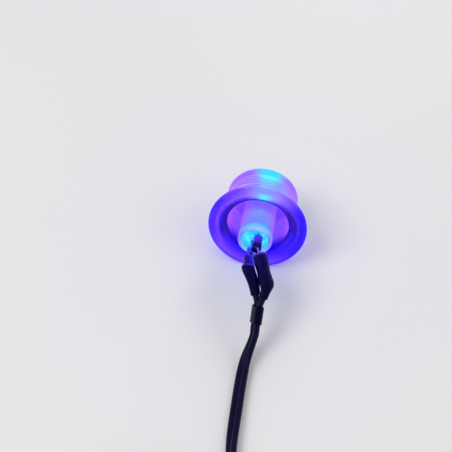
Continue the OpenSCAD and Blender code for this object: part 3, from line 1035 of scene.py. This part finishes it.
flat_lead()

# The clear bezel, one moulding
bezel = lathe("clear_bezel", bezel_points, axis_place(), turns=192, sharp=32)
finish_piece(bezel, plastic, "bezel_plastic", "housing")


# The LED in its tube
led_radius = 2.5


def led_body():
    """Flange, body and dome, with the flange's flat on the cathode's side."""
    outline = [(0, 0.0), (2.0, 0.0)]
    outline += arc(2.78, 0.12, 0.12, -90, 0, 4) + arc(2.78, 0.88, 0.12, 0, 90, 4)
    outline += [(led_radius, 1.02), (led_radius, 3.0), (led_radius, 5.0)]
    outline += arc(0, 6.1, led_radius, 0, 90, 20)
    outline[-1] = (0, 8.6)
    piece = lathe("led_body", outline, Matrix.Identity(4), turns=96)
    for vertex in piece.data.vertices:
        vertex.co.x = max(vertex.co.x, -led_radius * MM)
    piece.data.transform(led_place())
    return piece


finish_piece(led_body(), epoxy, "led_epoxy", "led_lens")
for name in ("cathode_lead", "anode_lead"):
    finish_node(name, tinned)
finish_node("led_chip", chip)
finish_node("bond_wire", gold)


# The anode side: thin sleeve, joint, resistor and its sleeve
def leg_sleeve():
    """A thin sleeve with rounded lips, as a closed outline turned about the leg."""
    outline = [(1.05, -1.56), (1.05, -2.2), (1.03, -3.3), (1.05, -4.4), (1.05, -5.74)]
    outline += [(1.01, -5.8), (0.94, -5.8), (0.9, -5.74)]
    outline += [(0.9, -3.3), (0.9, -1.56), (0.94, -1.5), (1.01, -1.5)]
    outline.append(outline[0])
    piece = lathe("leg_sleeve", outline, Matrix.Identity(4), turns=48, sharp=60)
    build = bmesh.new()
    build.from_mesh(piece.data)
    bmesh.ops.remove_doubles(build, verts=build.verts, dist=1e-7)
    bmesh.ops.transform(build, matrix=leg_place, verts=build.verts)
    build.to_mesh(piece.data)
    build.free()
    return piece


finish_piece(leg_sleeve(), thin_tubing, "thin_sleeve", "anode_sleeve")


def resistor_body():
    """A quarter-watt body: two round caps and a slimmer waist."""
    cap_side = [(1.25, 1.1), (1.23, 1.4), (1.15, 1.75), (1.125, 2.1)]
    outline = [(0, 0.0), (0.55, 0.0)]
    outline += arc(0.75, 0.5, 0.5, -80, 0, 8) + cap_side
    outline += [(radius, resistor_length - height) for radius, height in reversed(cap_side)]
    outline += arc(0.75, 5.8, 0.5, 0, 80, 8)
    outline += [(0.55, resistor_length), (0, resistor_length)]
    return lathe("resistor", outline, place_towards(resistor_start, resistor_way), 64)


finish_piece(resistor_body(), paint, "resistor_paint", "resistor_body")

lead_in = [led_point(resistor_wire, 0, height) for height in (-1.6, -5.4, -5.8)]
lead_in += [resistor_start - resistor_way * 0.4, resistor_start]
finish_piece(rod("resistor_wire_in", lead_in, 0.5), tinned, "lead_metal", "resistor_lead_in")
lead_out = [resistor_end, out_bend - resistor_way * 0.1, out_bend, out_tip]
finish_piece(rod("resistor_wire_out", lead_out, 0.5), tinned, "lead_metal", "resistor_lead_out")
for name in ("anode_joint", "resistor_joint", "cathode_joint"):
    finish_node(name, solder)

strands = strand_bundle("positive_strand_bundle", [out_tip, out_tip + out_way * 1.2], 0.7)
finish_piece(strands, copper, "strand_copper", "positive_strands")
lap = [
    leaned(wire_side, -insulation_at),
    leaned(wire_side, -insulation_at + 0.25),
    leaned(strand_side, -insulation_at + 0.95),
    leaned(strand_side, -insulation_at + 3.4),
]
strands = strand_bundle("negative_strand_bundle", lap, 0.7)
finish_piece(strands, copper, "strand_copper", "negative_strands")


def resistor_cover():
    """The sleeve over resistor and joint, slimmer at the waist and thin on the wire."""
    full, waist, thin = 3.28, 3.02, 2.1
    widths_along = [
        (resistor_start - resistor_way, full),
        (resistor_start, full),
        (resistor_start + resistor_way * 1.2, full),
        (resistor_middle, waist),
        (resistor_end - resistor_way * 1.2, full),
        (resistor_end, full),
        (out_tip, thin + 0.2),
        (positive_start, thin),
        (positive_start + out_way * 0.5, thin),
    ]
    stations = smooth([(*p, w, w, 0) for p, w in widths_along], 6)
    return shrunk_tube("resistor_cover", stations, 0.28, crease=0.07, seed=3.0)


finish_piece(resistor_cover(), resistor_tubing, "shrink_sleeve", "resistor_sleeve")

# The two wires, the cathode's sleeve and the outer sleeve
positive_route = [
    positive_start,
    positive_start + out_way * 0.3,
    positive_start + out_way * 0.6,
    right_wire - gather_way * 0.4,
    right_wire,
    right_wire + gather_way * 1.6,
    right_wire + gather_way * gather_length / 2,
]
negative_route = [
    leaned(wire_side, -insulation_at),
    leaned(wire_side, -insulation_at - 0.3),
    leaned(wire_side, -insulation_at - 0.6),
    leaned(wire_side, -8.4),
    leaned(wire_side, -9.9),
    base + Vector((1.0, -12.2, 0)),
    base + Vector((2.2, -14.5, -1.55)),
    left_wire - gather_way * 0.7 - gather_across * 0.1,
    left_wire,
    left_wire + gather_way * 1.6,
    left_wire + gather_way * gather_length / 2,
]
wire = rod("positive_insulation", smooth([tuple(p) for p in positive_route], 6), 2 * wire_radius, 24)
finish_piece(wire, insulation, "wire_insulation", "positive_wire")
negative_line = smooth([tuple(p) for p in negative_route], 6)
wire = rod("negative_insulation", negative_line, 2 * wire_radius, 24)
finish_piece(wire, insulation, "wire_insulation", "negative_wire")


def cathode_cover():
    """An oblong sleeve over lead and wire that narrows to the wire alone."""
    first, last = 22, 36
    narrow = 2.16
    stations = []
    for i in range(first, last + 1):
        off = 0.4 * min(1, (last - i) / 12)
        sideways = Vector((0, 0, 1)).cross(way_at(negative_line, i)).normalized()
        middle = Vector(negative_line[i]) + sideways * off
        stations.append((*middle, narrow + 2 * off, 2.1, 90))
    return shrunk_tube("cathode_cover", stations, 0.3, crease=0.05, seed=7.0)


finish_piece(cathode_cover(), cathode_tubing, "shrink_sleeve", "cathode_sleeve")


def gather_cover():
    """The outer sleeve round both wires, at the start of the flat lead."""
    stations = []
    for share in (0, 0.15, 0.3, 0.45, 0.6, 0.75, 0.9, 1):
        middle = gather_start + gather_way * gather_length * share
        stations.append((*middle, 3.58, 2.08, gather_twist))
    return shrunk_tube("gather_cover", stations, 0.3, crease=0.08, seed=11.0, sides=40)


finish_piece(gather_cover(), gather_tubing, "shrink_sleeve", "gather_sleeve")


# Studio: pale floor, pale surroundings and soft lamps
def studio():
    bpy.ops.mesh.primitive_plane_add(size=3, location=(0, 0, -0.00002))
    floor = bpy.context.object
    floor.name = "floor"
    made, tree, main = shader("pale_floor", Roughness=0.5, Specular_IOR_Level=0.3)
    greys = [(0.3, (0.80, 0.80, 0.82, 1)), (0.7, (0.82, 0.82, 0.84, 1))]
    put(tree, main, "Base Color", ramp(tree, cloud(tree, 6.0), greys))
    floor.data.materials.append(made)

    world = bpy.data.worlds.new("studio")
    bpy.context.scene.world = world
    world.use_nodes = True
    tree = world.node_tree
    background = tree.nodes["Background"]
    path = add(tree, "LightPath").outputs
    reflected = sums(tree, "MAXIMUM", path["Is Glossy Ray"], path["Is Transmission Ray"])
    seen = sums(tree, "MAXIMUM", path["Is Camera Ray"], reflected)
    put(tree, background, "Color", (1.0, 1.0, 1.0, 1.0))
    put(tree, background, "Strength", sums(tree, "ADD", 0.45, times(tree, seen, 0.5)))

    def lamp(name, place, size, power):
        data = bpy.data.lights.new(name, "AREA")
        data.size = size
        data.energy = power
        lamp_object = bpy.data.objects.new(name, data)
        bpy.context.scene.collection.objects.link(lamp_object)
        lamp_object.location = place
        way = Vector((0, 0, 0.01)) - Vector(place)
        lamp_object.rotation_euler = way.to_track_quat("-Z", "Y").to_euler()

    lamp("key_lamp", (-0.35, -0.25, 0.55), 0.35, 2.0)
    lamp("fill_lamp", (0.45, -0.1, 0.4), 0.4, 0.6)
    lamp("back_lamp", (0.05, 0.5, 0.35), 0.3, 0.7)


studio()
bpy.context.scene.view_settings.view_transform = "Standard"
